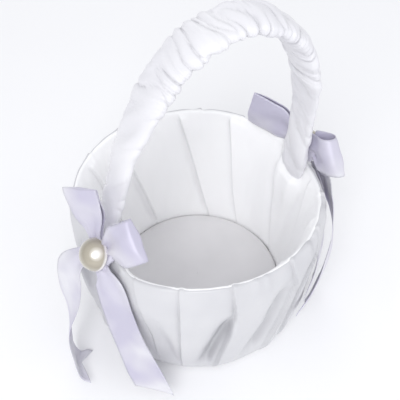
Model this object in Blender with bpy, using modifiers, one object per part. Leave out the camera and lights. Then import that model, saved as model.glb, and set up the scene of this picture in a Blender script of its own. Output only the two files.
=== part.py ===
"""Flower girl basket: a round satin-covered basket with a flat arched handle and two ribbon bows.

Metres, +Z up. The origin is the centre of the underside, +X runs along the handle's span towards
the right bow, and -Y is the front. Heights named "above the rim" are counted from the rim plane,
as shares of the rim radius.
"""

import math

import bmesh
import bpy
from mathutils import Euler, Vector

# Driving dimensions of the basket.
RIM_RADIUS = 0.080
RIM_HEIGHT = 0.100
CLEARANCE = 0.0003
FABRIC = 0.0008
BOARD = 0.0012

# Wall: each profile is (radius, height above the rim), both as shares of the rim radius, top to bottom.
COVER_PROFILE = [(1.003, -0.030), (1.024, -0.11), (1.032, -0.25), (1.020, -0.45), (0.998, -0.72),
                 (0.968, -1.00), (0.928, -1.17), (0.875, -1.25)]
RIM_ROLL = [(0.962, -0.014), (0.972, 0.0), (0.990, -0.004)]
CORE_TOP = (0.975, -0.035)
CORE_BOTTOM = (0.800, -1.235)
LINING_PROFILE = [(0.952, -0.020), (0.895, -0.16), (0.852, -0.35), (0.818, -0.62), (0.782, -0.92),
                  (0.750, -1.205)]
WALL_STEPS = 36
WALL_ROWS = 6
LAYER_GAP = 5 * CLEARANCE

# The rim sinks where the handle's feet load it, and the left bow's stitch draws the wall in.
RIM_SAG = 0.0044
SAG_SHARPNESS = 6
PULL_ANGLE = 188.0
PULL_DEPTH = 0.115
PULL_REACH = 24.0
PULL_DEPTH_DOWN = 0.55

# Floor pad and base.
BASE_RADIUS = 0.0615
UNDERSIDE_RADIUS = 0.0660
FLOOR_PAD_RADIUS = 0.0575
FLOOR_PAD_BOTTOM = 0.0036
FLOOR_WADDING = 0.0014

# Handle: centre line in the plane y = 0, as (x, height above the rim) in shares of the rim radius.
HANDLE_PATH = [(-0.800, -0.145), (-0.758, -0.02), (-0.695, 0.13), (-0.645, 0.28), (-0.580, 0.51),
               (-0.460, 0.79), (-0.295, 1.045), (-0.090, 1.285), (0.130, 1.395), (0.355, 1.420),
               (0.580, 1.335), (0.765, 1.130), (0.875, 0.87), (0.918, 0.60), (0.920, 0.30),
               (0.906, 0.05), (0.888, -0.145)]
LEFT_TUCK = [(-0.862, -0.46), (-0.849, -0.30), (-0.833, -0.20)]
RIGHT_TUCK = [(0.908, -0.21), (0.902, -0.28), (0.882, -0.44)]
PATH_POINTS_PER_SPAN = 2
STRIP_WIDTH = 0.0140
STRIP_THICKNESS = 0.0014
HANDLE_WADDING = 0.0008
HANDLE_WIDTH = 0.0222
HANDLE_THICKNESS = 0.0060
HANDLE_FULLNESS = 0.24
GATHERED_ABOVE = 0.35
SLEEVE_FLAT_SHARE = 0.72
SLEEVE_EDGE_SHARE = 0.45
LINING_NOTCH = (0.0300, 0.0260, 0.0320)

# Staples that hold the strip's ends to the wall core.
STAPLE_WIDTH = 0.0080
STAPLE_RADIUS = 0.0004
STAPLE_LENGTH = 0.0042
STAPLE_HOLE = (0.0090, 0.0015, 0.0015)

# Bows: ribbon, knot and half pearl.
RIBBON_WIDTH = 0.0250
RIBBON_THICKNESS = 0.0006
GATHER = 0.36
KNOT_SIZE = Vector((0.0060, 0.0170, 0.0145))
PEARL_RADIUS = 0.0100
PEARL_HEIGHT = 0.0100
PEARL_SEAT_RADIUS = 0.0085
PEARL_SEAT = 0.0006
PEARL_STEPS = 24
PEARL_ROWS = 6
LOOP_START = 0.0112
LOOP_ROWS = 14
LOOP_BELLY = 0.0068
LOOP_BELLY_AT_KNOT = 0.35
LOOP_FIRST_TURN = 24.0
LOOP_LAST_TURN = 336.0
LOOP_OPENING_RATE = 1.6
TAIL_ROWS = 10
TAIL_OPENING_RATE = 2.6
TAIL_CUT_FROM = 0.7

# Places and directions are shares of the rim radius, counted from the rim's centre. A tail has one width
# direction for each point of its path.
LEFT_BOW = {
    "side": "left",
    "knot": (-0.895, -0.240, -0.055),
    "facing": 190.0,
    "raised": 36.0,
    "back_loop": {"reach": (0.05, 0.26, 0.44), "width": (0.46, -0.78, 0.42)},
    "front_loop": {"reach": (0.20, -0.30, 0.35), "width": (0.06, -0.80, -0.64)},
    "back_tail": {
        "path": [(-0.990, -0.150, -0.18), (-1.110, -0.130, -0.30), (-1.190, -0.140, -0.60),
                 (-1.235, -0.200, -0.90), (-1.240, -0.300, -1.08), (-1.205, -0.400, -1.17),
                 (-1.120, -0.460, -1.195)],
        "width": [(0.25, -0.95, 0.0), (0.30, -0.92, 0.10), (0.25, -0.93, 0.20), (0.05, -0.95, 0.25),
                  (-0.20, -0.93, 0.16), (-0.35, -0.90, 0.10), (-0.40, -0.88, 0.05)],
        "slant": -0.05,
    },
    "front_tail": {
        "path": [(-0.925, -0.410, -0.13), (-0.922, -0.478, -0.22), (-0.900, -0.552, -0.42),
                 (-0.842, -0.650, -0.78), (-0.804, -0.900, -1.12)],
        "width": [(0.50, -0.86, 0.0), (0.55, -0.80, 0.20), (0.62, -0.72, 0.31), (0.68, -0.65, 0.33),
                  (0.70, -0.63, 0.33)],
        "slant": -0.07,
    },
}
RIGHT_BOW = {
    "side": "right",
    "knot": (1.002, 0.010, 0.050),
    "facing": 0.0,
    "raised": 0.0,
    "back_loop": {"reach": (-0.09, 0.50, 0.13), "width": (-0.05, -0.10, -0.98), "bend": (-0.15, 0.0, 0.0)},
    "front_loop": {"reach": (0.02, -0.34, 0.12), "width": (0.0, -0.62, -0.78)},
    "back_tail": {
        "path": [(1.040, 0.055, -0.120), (1.052, -0.020, -0.20), (1.060, -0.260, -0.36),
                 (1.010, -0.410, -0.60), (0.930, -0.510, -0.90), (0.800, -0.585, -1.12)],
        "width": [(0.0, -0.98, 0.0), (0.0, -0.90, 0.25), (-0.40, -0.60, 0.66), (-0.46, -0.51, 0.72),
                  (-0.46, -0.51, 0.72), (-0.46, -0.51, 0.72)],
        "slant": -0.07,
    },
    "front_tail": {
        "path": [(1.065, -0.100, -0.115), (1.095, -0.190, -0.20), (1.070, -0.420, -0.32),
                 (0.965, -0.620, -0.46), (0.830, -0.740, -0.60), (0.670, -0.830, -0.75),
                 (0.530, -0.885, -0.85)],
        "width": [(0.0, -0.98, 0.0), (-0.35, -0.70, 0.50), (-0.46, -0.51, 0.72), (-0.46, -0.51, 0.72),
                  (-0.46, -0.51, 0.72), (-0.46, -0.51, 0.72), (-0.46, -0.51, 0.72)],
        "slant": -0.07,
    },
}


def clear_scene():
    for existing in list(bpy.data.objects):
        bpy.data.objects.remove(existing)


def make_collection(name):
    collection = bpy.data.collections.new(name)
    bpy.context.scene.collection.children.link(collection)
    return collection


def make_material(name, colour, roughness, metallic=0.0):
    material = bpy.data.materials.new(name)
    material.use_nodes = True
    shader = material.node_tree.nodes["Principled BSDF"]
    shader.inputs["Base Color"].default_value = (*colour, 1.0)
    shader.inputs["Roughness"].default_value = roughness
    shader.inputs["Metallic"].default_value = metallic
    return material


def from_rim(x, y, z):
    """A point given in shares of the rim radius, counted from the rim's centre, in metres."""
    return Vector((x * RIM_RADIUS, y * RIM_RADIUS, RIM_HEIGHT + z * RIM_RADIUS))


def link_mesh(name, mesh, material, smooth=True):
    obj = bpy.data.objects.new(name, mesh)
    mesh.materials.clear()
    mesh.materials.append(material)
    parts.objects.link(obj)
    if smooth:
        mesh.shade_smooth()
        mesh.set_sharp_from_angle(angle=math.radians(40))
    return obj


def applied_mesh(obj):
    """The object's mesh with its modifiers applied; the object itself is removed."""
    bpy.context.view_layer.update()
    evaluated = obj.evaluated_get(bpy.context.evaluated_depsgraph_get())
    mesh = bpy.data.meshes.new_from_object(evaluated)
    bpy.data.objects.remove(obj)
    return mesh


def turned_mesh(name, outline, steps, closed=True):
    """An outline of (radius, height), running down its outer side, turned once around +Z.

    A closed outline makes a ring; an open one starts and ends on the axis.
    """
    mesh = bpy.data.meshes.new(name)
    last = len(outline) if closed else len(outline) - 1
    edges = [(i, (i + 1) % len(outline)) for i in range(last)]
    mesh.from_pydata([(radius, 0.0, height) for radius, height in outline], edges, [])
    obj = bpy.data.objects.new(name, mesh)
    parts.objects.link(obj)
    screw = obj.modifiers.new("turn", "SCREW")
    screw.steps = steps
    screw.render_steps = steps
    screw.use_merge_vertices = True
    screw.merge_threshold = 0.00001
    screw.use_smooth_shade = True
    return applied_mesh(obj)


def angle_between(angle, other):
    return (angle - other + 180.0) % 360.0 - 180.0


def pull(angle, height_share):
    """How far the left bow's stitch draws the wall in, as a share of the radius."""
    across = math.exp(-((angle_between(angle, PULL_ANGLE) / PULL_REACH) ** 4))
    below_rim = (1.0 - height_share) * RIM_HEIGHT / RIM_RADIUS
    down = max(0.0, 1.0 - below_rim / PULL_DEPTH_DOWN)
    return PULL_DEPTH * across * down * down * (3.0 - 2.0 * down)


def settle_wall(mesh):
    """Draws the wall in behind the left bow and lets the rim sink at the handle's feet."""
    for vertex in mesh.vertices:
        radius = math.hypot(vertex.co.x, vertex.co.y)
        height_share = min(1.0, max(0.0, vertex.co.z / RIM_HEIGHT))
        angle = math.degrees(math.atan2(vertex.co.y, vertex.co.x))
        shrink = 1.0 - pull(angle, height_share)
        sag = RIM_SAG * abs(vertex.co.x / radius) ** SAG_SHARPNESS * height_share ** 3
        vertex.co = (vertex.co.x * shrink, vertex.co.y * shrink, vertex.co.z - sag)


def profile_points(profile):
    return [(radius * RIM_RADIUS, RIM_HEIGHT + height * RIM_RADIUS) for radius, height in profile]


def straight_rows(top, bottom):
    """Evenly spaced points from top to bottom, so that a straight wall can follow the pull behind a bow."""
    shares = [i / WALL_ROWS for i in range(WALL_ROWS + 1)]
    return [tuple(a + (b - a) * share for a, b in zip(top, bottom)) for share in shares]


def offset_inward(outline, distance):
    """The outline moved sideways towards the axis, square to its own direction."""
    moved = []
    for i, (radius, height) in enumerate(outline):
        before = Vector(outline[max(i - 1, 0)])
        after = Vector(outline[min(i + 1, len(outline) - 1)])
        along = (after - before).normalized()
        moved.append((radius + along.y * distance, height - along.x * distance))
    return moved


def wall_layer(name, outer, inner, material):
    """A wall ring between an outer and an inner profile, both given from top to bottom."""
    mesh = turned_mesh(name, outer + inner[::-1], WALL_STEPS)
    settle_wall(mesh)
    return link_mesh(name, mesh, material)


def outer_cover():
    outer = profile_points(RIM_ROLL + COVER_PROFILE)
    inner = offset_inward(outer, FABRIC)
    hem = UNDERSIDE_RADIUS + CLEARANCE
    outer.append((hem, 0.0))
    outer[-2] = (outer[-2][0], 0.0)
    inner[-1] = (inner[-1][0], FABRIC)
    inner.append((hem, FABRIC))
    return wall_layer("outer_cover", outer, inner, white_satin)


def core_profile():
    return profile_points(straight_rows(CORE_TOP, CORE_BOTTOM))


def wall_core():
    outer = core_profile()
    inner = offset_inward(outer, BOARD)
    return wall_layer("wall_core", outer, inner, grey_board)


def core_radius(height):
    """The core's outer radius at a height above the ground."""
    (top_radius, top), (bottom_radius, bottom) = profile_points([CORE_TOP, CORE_BOTTOM])
    return bottom_radius + (top_radius - bottom_radius) * (height - bottom) / (top - bottom)


def wall_wadding():
    """Wadding that fills the space between the core and the outer cover, and gives the wall its swell."""
    outer = offset_inward(profile_points(COVER_PROFILE), FABRIC + LAYER_GAP)[1:-2]
    inner = [(core_radius(height) + LAYER_GAP, height) for _, height in outer]
    return wall_layer("wall_wadding", outer, inner, wadding)


def inner_lining():
    """The lining, notched at its top where the handle's feet enter the wall."""
    outer = profile_points(LINING_PROFILE)
    inner = offset_inward(outer, FABRIC)
    lining = wall_layer("inner_lining", outer, inner, white_satin)
    for side, foot in (("left", HANDLE_PATH[0]), ("right", HANDLE_PATH[-1])):
        cut_box(lining, side + "_notch_cutter", from_rim(foot[0], 0.0, 0.0), LINING_NOTCH)
    return lining


def cut_box(obj, name, place, size):
    """Cuts a box-shaped notch or slot into an object."""
    bpy.ops.mesh.primitive_cube_add(size=1.0, location=place)
    cutter = bpy.context.active_object
    cutter.name = name
    cutter.scale = size
    cutter.hide_render = True
    cutter.display_type = "WIRE"
    for collection in cutter.users_collection:
        collection.objects.unlink(cutter)
    cutters.objects.link(cutter)
    cut = obj.modifiers.new(name, "BOOLEAN")
    cut.operation = "DIFFERENCE"
    cut.object = cutter


def disc(name, radius, bottom, top, material):
    bpy.ops.mesh.primitive_cylinder_add(
        vertices=WALL_STEPS, radius=radius, depth=top - bottom, location=(0.0, 0.0, (bottom + top) / 2))
    obj = bpy.context.active_object
    obj.name = name
    for collection in obj.users_collection:
        collection.objects.unlink(obj)
    parts.objects.link(obj)
    obj.data.materials.append(material)
    obj.data.shade_smooth()
    obj.data.set_sharp_from_angle(angle=math.radians(40))
    return obj


def base():
    """The base board and the fabric disc that closes the underside."""
    disc("underside_cover", UNDERSIDE_RADIUS, 0.0, FABRIC, white_satin)
    bottom = FABRIC + CLEARANCE
    disc("base_board", BASE_RADIUS, bottom, FLOOR_PAD_BOTTOM - CLEARANCE, grey_board)


def floor_pad():
    """The loose padded floor: a board, a wadding disc and a satin cap drawn over both."""
    board_top = FLOOR_PAD_BOTTOM + BOARD
    wadding_bottom = board_top + CLEARANCE
    wadding_top = wadding_bottom + FLOOR_WADDING
    disc("floor_board", FLOOR_PAD_RADIUS, FLOOR_PAD_BOTTOM, board_top, grey_board)
    disc("floor_wadding", FLOOR_PAD_RADIUS, wadding_bottom, wadding_top, wadding)
    inside = FLOOR_PAD_RADIUS + CLEARANCE
    outside = inside + FABRIC
    top = wadding_top + CLEARANCE + FABRIC
    outline = [(outside - FABRIC, top), (outside, top - FABRIC), (outside, FLOOR_PAD_BOTTOM),
               (inside, FLOOR_PAD_BOTTOM), (inside, top - FABRIC)]
    cap = [(0.0, top)] + outline + [(0.0, top - FABRIC)]
    link_mesh("floor_cover", turned_mesh("floor_cover", cap, WALL_STEPS, closed=False), white_satin)


def smooth_path(points, per_span):
    """A Catmull-Rom line through the points, with per_span steps between neighbours."""
    ends = [points[0] * 2 - points[1]] + list(points) + [points[-1] * 2 - points[-2]]
    line = []
    for i in range(1, len(ends) - 2):
        before, start, end, after = ends[i - 1:i + 3]
        for step in range(per_span):
            t = step / per_span
            line.append(0.5 * (2 * start + (end - before) * t
                               + (2 * before - 5 * start + 4 * end - after) * t * t
                               + (3 * start - before - 3 * end + after) * t ** 3))
    line.append(points[-1].copy())
    return line


def tangents(line):
    last = len(line) - 1
    return [(line[min(i + 1, last)] - line[max(i - 1, 0)]).normalized() for i in range(len(line))]


def sheet(name, rows, material, thickness, closed_section=False):
    """A solid sheet through rows of points. A closed section makes a tube with open ends."""
    mesh = bpy.data.meshes.new(name)
    shape = bmesh.new()
    grid = [[shape.verts.new(point) for point in row] for row in rows]
    across = len(rows[0])
    for row, following in zip(grid, grid[1:]):
        for i in range(across if closed_section else across - 1):
            j = (i + 1) % across
            shape.faces.new((row[i], row[j], following[j], following[i]))
    shape.normal_update()
    shape.to_mesh(mesh)
    shape.free()
    obj = link_mesh(name, mesh, material)
    solid = obj.modifiers.new("thickness", "SOLIDIFY")
    solid.thickness = thickness
    solid.offset = -1.0 if closed_section else 0.0
    solid.use_even_offset = True
    return obj


def handle_line():
    return smooth_path([from_rim(x, 0.0, z) for x, z in HANDLE_PATH], PATH_POINTS_PER_SPAN)


def handle_strip():
    """The stiff flat strip that carries the load; its ends tuck in between the lining and the wall core."""
    left = [from_rim(x, 0.0, z) for x, z in LEFT_TUCK]
    right = [from_rim(x, 0.0, z) for x, z in RIGHT_TUCK]
    half = Vector((0.0, STRIP_WIDTH / 2, 0.0))
    rows = [[point - half, point + half] for point in left + handle_line() + right]
    return sheet("handle_strip", rows, strip_plastic, STRIP_THICKNESS)


def staple(side, tuck, outward, strip, core):
    """A wire staple through one end of the strip and the wall core, with its crown on the strip."""
    place = (from_rim(tuck[0][0], 0.0, tuck[0][1]) + from_rim(tuck[1][0], 0.0, tuck[1][1])) / 2
    crown = place.x - outward * (STRIP_THICKNESS / 2 + STAPLE_RADIUS + CLEARANCE)
    tip = crown + outward * STAPLE_LENGTH
    half = STAPLE_WIDTH / 2
    wire = bpy.data.curves.new(side + "_staple", "CURVE")
    wire.dimensions = "3D"
    spline = wire.splines.new("POLY")
    spline.points.add(3)
    for point, (x, y) in zip(spline.points, [(tip, -half), (crown, -half), (crown, half), (tip, half)]):
        point.co = (x, y, place.z, 1.0)
    wire.bevel_depth = STAPLE_RADIUS
    wire.bevel_resolution = 1
    wire.use_fill_caps = True
    wire.materials.append(staple_steel)
    parts.objects.link(bpy.data.objects.new(side + "_staple", wire))
    for leg, y in (("a", -half), ("b", half)):
        for obj in (strip, core):
            cut_box(obj, f"{side}_{obj.name}_hole_{leg}", Vector((place.x, y, place.z)), STAPLE_HOLE)


def tube_section(centre, along, width, thickness):
    """A flat rounded section, square to the handle's line, with its width along Y."""
    outward = along.cross(Vector((0.0, 1.0, 0.0)))
    half_width = width / 2
    half_thickness = thickness / 2
    flat = half_width * SLEEVE_FLAT_SHARE
    edge = SLEEVE_EDGE_SHARE
    corners = [(-half_width, -edge), (-flat, -1.0), (flat, -1.0), (half_width, -edge),
               (half_width, edge), (flat, 1.0), (-flat, 1.0), (-half_width, edge)]
    return [centre + Vector((0.0, y, 0.0)) + outward * (share * half_thickness) for y, share in corners]


def fullness(point):
    """The band is wider over the top of the arch, where the sleeve is gathered most."""
    height = (point.z - RIM_HEIGHT) / RIM_RADIUS
    share = min(1.0, max(0.0, (height - GATHERED_ABOVE) / (1.0 - GATHERED_ABOVE)))
    return 1.0 + HANDLE_FULLNESS * share * share * (3.0 - 2.0 * share)


def handle_tube(name, width, thickness, wall, material, trim):
    line = handle_line()
    pairs = list(zip(line, tangents(line)))[trim:len(line) - trim]
    rows = [tube_section(point, along, width * fullness(point), thickness) for point, along in pairs]
    return sheet(name, rows, material, wall, closed_section=True)


def handle(core):
    strip = handle_strip()
    inner_width = HANDLE_WIDTH - 2 * (FABRIC + CLEARANCE)
    inner_thickness = HANDLE_THICKNESS - 2 * (FABRIC + CLEARANCE)
    handle_tube("handle_wadding", inner_width, inner_thickness, HANDLE_WADDING, wadding, trim=1)
    handle_tube("handle_sleeve", HANDLE_WIDTH, HANDLE_THICKNESS, FABRIC, white_satin, trim=0)
    staple("left", LEFT_TUCK[:2], -1.0, strip, core)
    staple("right", RIGHT_TUCK[:0:-1], 1.0, strip, core)


def in_knot_frame(obj, bow, outward_shift):
    """Places an object on the bow with its +X axis facing outwards, turned about +Z and raised."""
    turn = Euler((0.0, -math.radians(bow["raised"]), math.radians(bow["facing"])))
    obj.location = from_rim(*bow["knot"]) + turn.to_matrix() @ Vector((outward_shift, 0.0, 0.0))
    obj.rotation_euler = turn


def knot(bow):
    """The pinched knot of ribbon, a coarse block rounded by subdivision."""
    shape = bmesh.new()
    bmesh.ops.create_cube(shape, size=1.0)
    bmesh.ops.scale(shape, vec=KNOT_SIZE, verts=shape.verts)
    mesh = bpy.data.meshes.new(bow["side"] + "_knot")
    shape.to_mesh(mesh)
    shape.free()
    obj = link_mesh(bow["side"] + "_knot", mesh, ribbon_satin)
    soften = obj.modifiers.new("soften", "SUBSURF")
    soften.levels = 2
    soften.render_levels = 2
    in_knot_frame(obj, bow, 0.0)


def turned_stud(name, outline, material, bow, outward_shift):
    """A round piece turned around the bow's outward direction, from an outline of (radius, height)."""
    turned = turned_mesh(name, outline, PEARL_STEPS, closed=False)
    lay_down = Vector((0.0, 0.0, 1.0)).rotation_difference(Vector((1.0, 0.0, 0.0)))
    turned.transform(lay_down.to_matrix().to_4x4())
    placed = link_mesh(name, turned, material)
    in_knot_frame(placed, bow, outward_shift)


def pearl(bow):
    """The half pearl and the adhesive disc it sits on."""
    knot_face = KNOT_SIZE.x / 2
    seat = knot_face + CLEARANCE
    seat_outline = [(0.0, PEARL_SEAT), (PEARL_SEAT_RADIUS, PEARL_SEAT), (PEARL_SEAT_RADIUS, 0.0),
                    (0.0, 0.0)]
    turned_stud(bow["side"] + "_pearl_seat", seat_outline, adhesive, bow, seat)
    angles = [math.pi / 2 * i / PEARL_ROWS for i in range(PEARL_ROWS + 1)]
    dome = [(PEARL_RADIUS * math.sin(a), PEARL_HEIGHT * math.cos(a)) for a in angles]
    dome[0] = (0.0, PEARL_HEIGHT)
    on_seat = seat + PEARL_SEAT + CLEARANCE
    turned_stud(bow["side"] + "_pearl", dome + [(0.0, 0.0)], pearl_lacquer, bow, on_seat)


def half_width(opened):
    """Half the ribbon's width, gathered at 0 and fully open from 1."""
    return RIBBON_WIDTH / 2 * (GATHER + (1.0 - GATHER) * min(1.0, opened))


def loop(bow, which):
    """One ribbon loop: out from the knot, round its end and back, gathered at the knot."""
    spec = bow[which]
    start = from_rim(*bow["knot"])
    reach = Vector(spec["reach"]) * RIM_RADIUS
    out = reach.normalized()
    width = Vector(spec["width"]).normalized()
    across = out.cross(width).normalized()
    bend = Vector(spec.get("bend", (0.0, 0.0, 0.0))) * RIM_RADIUS
    length = reach.length - LOOP_START
    rows = []
    for i in range(LOOP_ROWS + 1):
        turn = math.radians(LOOP_FIRST_TURN + (LOOP_LAST_TURN - LOOP_FIRST_TURN) * i / LOOP_ROWS)
        share = (1.0 - math.cos(turn)) / 2
        swell = LOOP_BELLY_AT_KNOT + (1.0 - LOOP_BELLY_AT_KNOT) * share
        belly = LOOP_BELLY * math.sin(turn) * swell
        centre = start + out * (LOOP_START + length * share) + across * belly + bend * share * share
        half = width * half_width(share * LOOP_OPENING_RATE)
        rows.append([centre - half, centre, centre + half])
    sheet(bow["side"] + "_" + which, rows, ribbon_satin, RIBBON_THICKNESS)


def tail(bow, which):
    """One ribbon tail, from its gathered top at the knot to its slanted cut end."""
    spec = bow[which]
    spans = len(spec["path"]) - 1
    per_span = max(2, round(TAIL_ROWS / spans))
    line = smooth_path([from_rim(*point) for point in spec["path"]], per_span)
    widths = smooth_path([Vector(width) for width in spec["width"]], per_span)
    rows = []
    for i, (centre, along, side) in enumerate(zip(line, tangents(line), widths)):
        share = i / (len(line) - 1)
        flat = (side - side.dot(along) * along).normalized()
        half = flat * half_width(share * TAIL_OPENING_RATE)
        cut_share = max(0.0, share - TAIL_CUT_FROM) / (1.0 - TAIL_CUT_FROM)
        slant = along * (spec["slant"] * RIM_RADIUS * cut_share)
        rows.append([centre - half + slant, centre, centre + half - slant])
    hinge = hinge_point(bow)
    obj = sheet(bow["side"] + "_" + which, [[point - hinge for point in row] for row in rows],
                ribbon_satin, RIBBON_THICKNESS)
    obj.location = hinge


def hinge_point(bow):
    """The point under the knot that both tails of a bow swing about."""
    tops = [from_rim(*bow[which]["path"][0]) for which in ("back_tail", "front_tail")]
    return (tops[0] + tops[1]) / 2


def bow_assembly(bow):
    knot(bow)
    pearl(bow)
    for which in ("back_loop", "front_loop"):
        loop(bow, which)
    for which in ("back_tail", "front_tail"):
        tail(bow, which)


clear_scene()
parts = make_collection("flower_girl_basket")
cutters = make_collection("cutters")

white_satin = make_material("white_satin", (0.93, 0.93, 0.95), 0.38)
ribbon_satin = make_material("ribbon_satin", (0.92, 0.91, 0.97), 0.30)
wadding = make_material("wadding", (0.90, 0.90, 0.88), 0.95)
grey_board = make_material("grey_board", (0.62, 0.60, 0.56), 0.85)
strip_plastic = make_material("strip_plastic", (0.86, 0.86, 0.84), 0.45)
staple_steel = make_material("staple_steel", (0.70, 0.71, 0.73), 0.30, 1.0)
adhesive = make_material("adhesive", (0.85, 0.83, 0.76), 0.50)
pearl_lacquer = make_material("pearl_lacquer", (0.90, 0.87, 0.82), 0.12, 0.25)

outer_cover()
core = wall_core()
wall_wadding()
inner_lining()
base()
floor_pad()
handle(core)
bow_assembly(LEFT_BOW)
bow_assembly(RIGHT_BOW)
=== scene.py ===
"""Looks of the flower girl basket: pleated satin wall and lining, ruched handle, ribbon bows and half pearls.

Lengths named as shares are shares of the rim radius. Heights are counted from the rim plane, downwards negative.
Angles are in degrees around +Z, from +X.
"""

import bisect
import math
import random

import bpy
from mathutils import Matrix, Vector, noise


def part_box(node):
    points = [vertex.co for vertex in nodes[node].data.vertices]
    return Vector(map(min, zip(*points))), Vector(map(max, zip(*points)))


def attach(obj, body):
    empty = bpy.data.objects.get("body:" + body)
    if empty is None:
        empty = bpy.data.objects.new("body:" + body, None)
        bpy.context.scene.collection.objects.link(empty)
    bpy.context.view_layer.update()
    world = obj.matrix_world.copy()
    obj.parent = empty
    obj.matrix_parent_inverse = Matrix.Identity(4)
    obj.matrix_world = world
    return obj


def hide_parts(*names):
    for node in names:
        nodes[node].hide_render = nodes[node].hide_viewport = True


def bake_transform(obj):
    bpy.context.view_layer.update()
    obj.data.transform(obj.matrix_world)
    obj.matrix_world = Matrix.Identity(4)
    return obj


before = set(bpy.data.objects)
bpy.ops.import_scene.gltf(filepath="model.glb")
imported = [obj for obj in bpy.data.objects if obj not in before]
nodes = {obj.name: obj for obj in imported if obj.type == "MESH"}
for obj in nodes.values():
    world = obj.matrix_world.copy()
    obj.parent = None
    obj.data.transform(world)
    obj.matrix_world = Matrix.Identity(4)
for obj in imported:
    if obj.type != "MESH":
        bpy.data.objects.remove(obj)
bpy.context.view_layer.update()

COVER_SWELL = 1.032
RIM_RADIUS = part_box("outer_cover")[1].y / COVER_SWELL
RIM_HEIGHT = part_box("outer_cover")[1].z


# ---------------------------------------------------------------- small maths

def at(x, y, z):
    """A point given in shares of the rim radius, counted from the rim's centre."""
    return Vector((x * RIM_RADIUS, y * RIM_RADIUS, RIM_HEIGHT + z * RIM_RADIUS))


def smooth(low, high, value):
    """0 at low, 1 at high, with a soft start and end; low may be above high."""
    share = min(1.0, max(0.0, (value - low) / (high - low)))
    return share * share * (3.0 - 2.0 * share)


def bell(value):
    """1 at zero, falling smoothly on both sides."""
    return math.exp(-value * value)


def angle_between(angle, other):
    """The turn from other to angle, between -180 and 180 degrees."""
    return (angle - other + 180.0) % 360.0 - 180.0


def along_table(table, place):
    """Straight interpolation in a table of (place, value) whose places fall."""
    if place >= table[0][0]:
        return table[0][1]
    for (start, first), (end, second) in zip(table, table[1:]):
        if place >= end:
            return first + (second - first) * (start - place) / (start - end)
    return table[-1][1]


def catmull(points, count):
    """count points along a smooth line through the given points, evenly spaced in the control points' index."""
    ends = [points[0] * 2 - points[1]] + list(points) + [points[-1] * 2 - points[-2]]
    line = []
    for i in range(count):
        place = i / (count - 1) * (len(points) - 1)
        span = min(int(place), len(points) - 2)
        t = place - span
        before, start, end, after = ends[span:span + 4]
        line.append(0.5 * (2 * start + (end - before) * t
                           + (2 * before - 5 * start + 4 * end - after) * t * t
                           + (3 * start - before - 3 * end + after) * t ** 3))
    return line


def evenly(line, count):
    """The line resampled to count points of equal spacing, and its length."""
    reached = [0.0]
    for a, b in zip(line, line[1:]):
        reached.append(reached[-1] + (b - a).length)
    result = []
    for i in range(count):
        goal = reached[-1] * i / (count - 1)
        k = min(max(bisect.bisect_right(reached, goal) - 1, 0), len(line) - 2)
        span = reached[k + 1] - reached[k]
        result.append(line[k].lerp(line[k + 1], (goal - reached[k]) / span if span > 0 else 0.0))
    return result, reached[-1]


def tangents(line):
    """The direction of the line at each of its points."""
    last = len(line) - 1
    return [(line[min(i + 1, last)] - line[max(i - 1, 0)]).normalized() for i in range(len(line))]


# ---------------------------------------------------------------- mesh helpers

def grid_object(name, rows, material, around=False, length=1.0, thickness=0.0, offset=0.0):
    """A smooth sheet through rows of points, with a UV map: U across the row, V along the rows in metres."""
    mesh = bpy.data.meshes.new(name)
    across = len(rows[0])
    points = [point for row in rows for point in row]
    steps = across if around else across - 1
    faces = []
    for r in range(len(rows) - 1):
        for i in range(steps):
            j = (i + 1) % across
            faces.append((r * across + i, r * across + j, (r + 1) * across + j, (r + 1) * across + i))
    mesh.from_pydata(points, [], faces)
    uv = mesh.uv_layers.new(name="sheet")
    for face in mesh.polygons:
        for corner, loop in enumerate(face.loop_indices):
            r = face.index // steps + (1 if corner >= 2 else 0)
            i = face.index % steps + (1 if corner in (1, 2) else 0)
            uv.data[loop].uv = (i / steps, length * r / (len(rows) - 1))
    mesh.shade_smooth()
    mesh.materials.append(material)
    obj = bpy.data.objects.new(name, mesh)
    bpy.context.scene.collection.objects.link(obj)
    if thickness:
        solid = obj.modifiers.new("thickness", "SOLIDIFY")
        solid.thickness = thickness
        solid.offset = offset
    return obj


# ---------------------------------------------------------------- materials

def new_material(name, colour, roughness):
    """A material with its node tree and its Principled shader."""
    material = bpy.data.materials.new(name)
    material.use_nodes = True
    shader = material.node_tree.nodes["Principled BSDF"]
    shader.inputs["Base Color"].default_value = (*colour, 1.0)
    shader.inputs["Roughness"].default_value = roughness
    return material, material.node_tree, shader


def add(tree, kind, **values):
    """A new node with its input sockets or its settings filled in."""
    node = tree.nodes.new(kind)
    for key, value in values.items():
        if key in node.inputs:
            node.inputs[key].default_value = value
        else:
            setattr(node, key, value)
    return node


def noise_of(tree, coords, scale, detail=2.0, stretch=(1.0, 1.0, 1.0)):
    """Cloudy noise, drawn out along the axes where stretch is small."""
    mapping = add(tree, "ShaderNodeMapping")
    mapping.inputs["Scale"].default_value = stretch
    tree.links.new(coords, mapping.inputs["Vector"])
    texture = add(tree, "ShaderNodeTexNoise")
    texture.inputs["Scale"].default_value = scale
    texture.inputs["Detail"].default_value = detail
    tree.links.new(mapping.outputs["Vector"], texture.inputs["Vector"])
    return texture.outputs["Fac"]


def ramp(tree, factor, stops):
    """Colours laid out along a factor, from stops of (place, colour)."""
    node = add(tree, "ShaderNodeValToRGB")
    while len(node.color_ramp.elements) < len(stops):
        node.color_ramp.elements.new(0.5)
    for element, (place, colour) in zip(node.color_ramp.elements, stops):
        element.position = place
        element.color = (*colour, 1.0)
    tree.links.new(factor, node.inputs["Fac"])
    return node.outputs["Color"]


def remap(tree, factor, low, high):
    """A factor of 0 to 1 turned into a value between low and high."""
    node = add(tree, "ShaderNodeMapRange")
    node.inputs["To Min"].default_value = low
    node.inputs["To Max"].default_value = high
    tree.links.new(factor, node.inputs["Value"])
    return node.outputs["Result"]


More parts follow.
